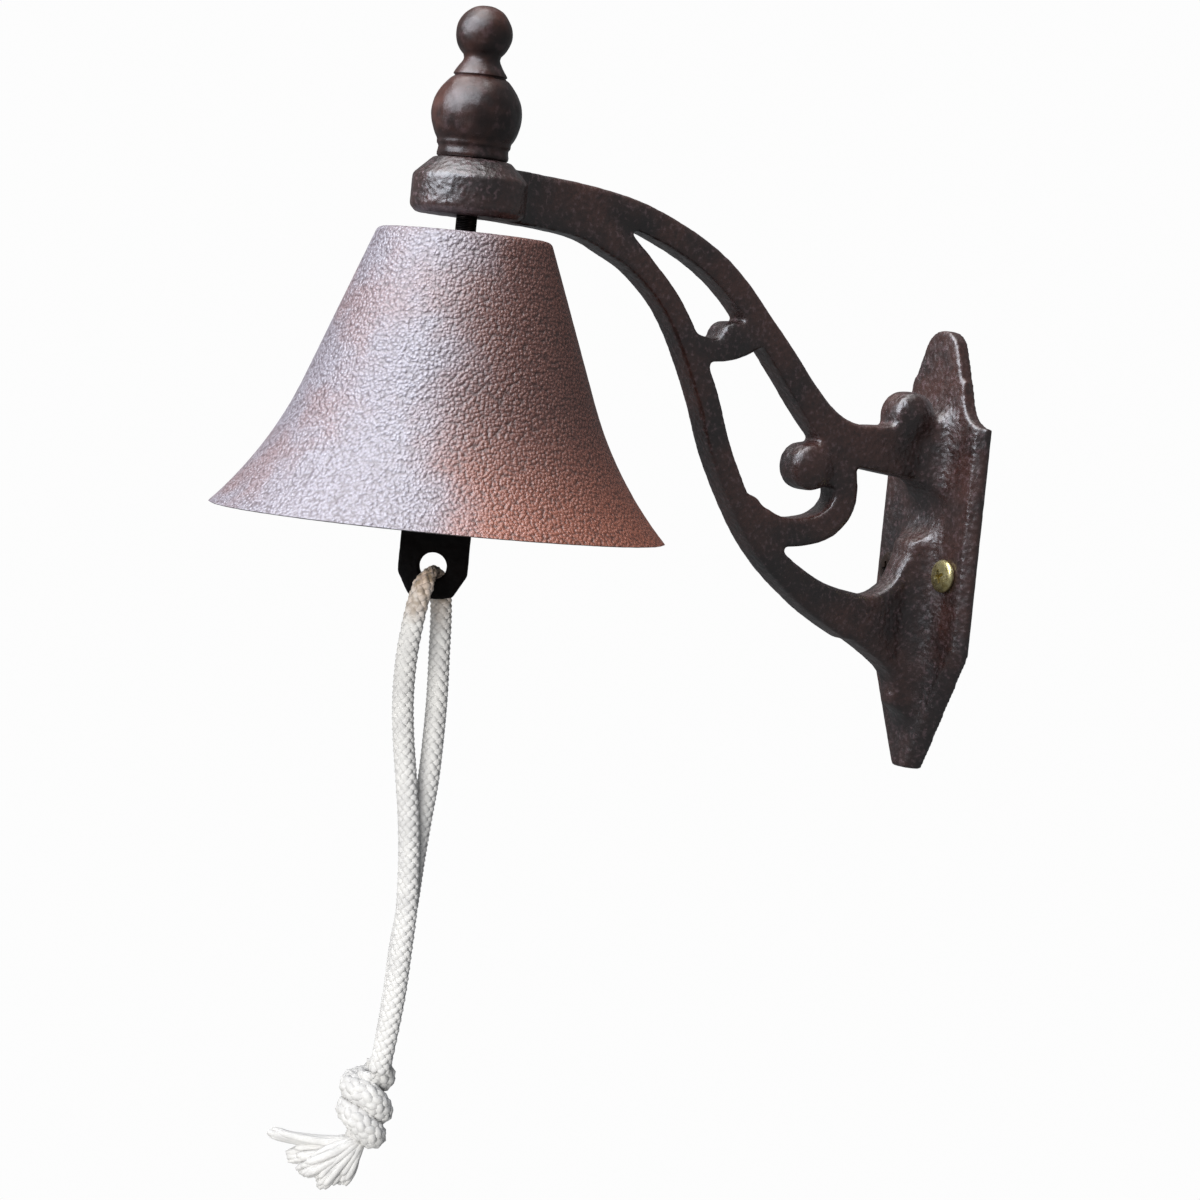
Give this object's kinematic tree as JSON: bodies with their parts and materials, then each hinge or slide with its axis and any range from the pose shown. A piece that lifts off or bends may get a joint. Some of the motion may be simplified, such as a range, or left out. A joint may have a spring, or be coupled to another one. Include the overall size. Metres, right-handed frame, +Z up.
{
  "type": "wall mounted bell",
  "caption": "Cast-iron bell hanging from a scroll bracket on a pointed wall plate, with a turned finial, a swinging clapper and a knotted cotton rope pull.",
  "frame": {"origin": "centre of the wall plate's back face, on the wall", "axes": "+Z up, -Y straight out of the wall towards the bell, +X to the right as seen from in front of the bell"},
  "size_m": [0.11, 0.222, 0.2889],
  "materials": {
    "cast_iron": "rough cast, waxed rust brown with a satin sheen",
    "dark_steel": "dark browned steel",
    "cotton_rope": "white braided cotton, a little soiled by the clapper",
    "brass": "bright zinc-yellow brass"
  },
  "bodies": {
    "bracket": {"wall_plate": "cast_iron", "scroll_arm": "cast_iron", "arm_boss": "cast_iron", "finial": "cast_iron", "hanger_rod": "dark_steel", "crown_washer": "dark_steel", "hanger_nut": "dark_steel", "wall_screws": "brass"},
    "bell": {"bell": "cast_iron"},
    "link": {"clapper_link": "dark_steel"},
    "clapper": {"clapper": "cast_iron"},
    "rope": {"rope_front": "cotton_rope", "rope_rear": "cotton_rope", "rope_knot": "cotton_rope", "rope_tassel": "cotton_rope"}
  },
  "joints": [
    {"name": "bell_spin", "type": "hinge", "parent": "bracket", "child": "bell", "pos_m": [0, -0.151, 0.065], "axis": [0, 0, 1], "continuous": true},
    {"name": "link_swing", "type": "hinge", "parent": "bracket", "child": "link", "pos_m": [0, -0.151, 0.0495], "axis": [0.5592, 0.829, 0], "range_deg": [-29, 29]},
    {"name": "clapper_swing", "type": "hinge", "parent": "link", "child": "clapper", "pos_m": [0, -0.151, 0.0351], "axis": [-0.829, 0.5592, 0], "range_deg": [-12, 12]},
    {"name": "rope_swing", "type": "hinge", "parent": "clapper", "child": "rope", "pos_m": [0, -0.151, -0.0136], "axis": [-0.829, 0.5592, 0], "range_deg": [-25, 25]}
  ]
}
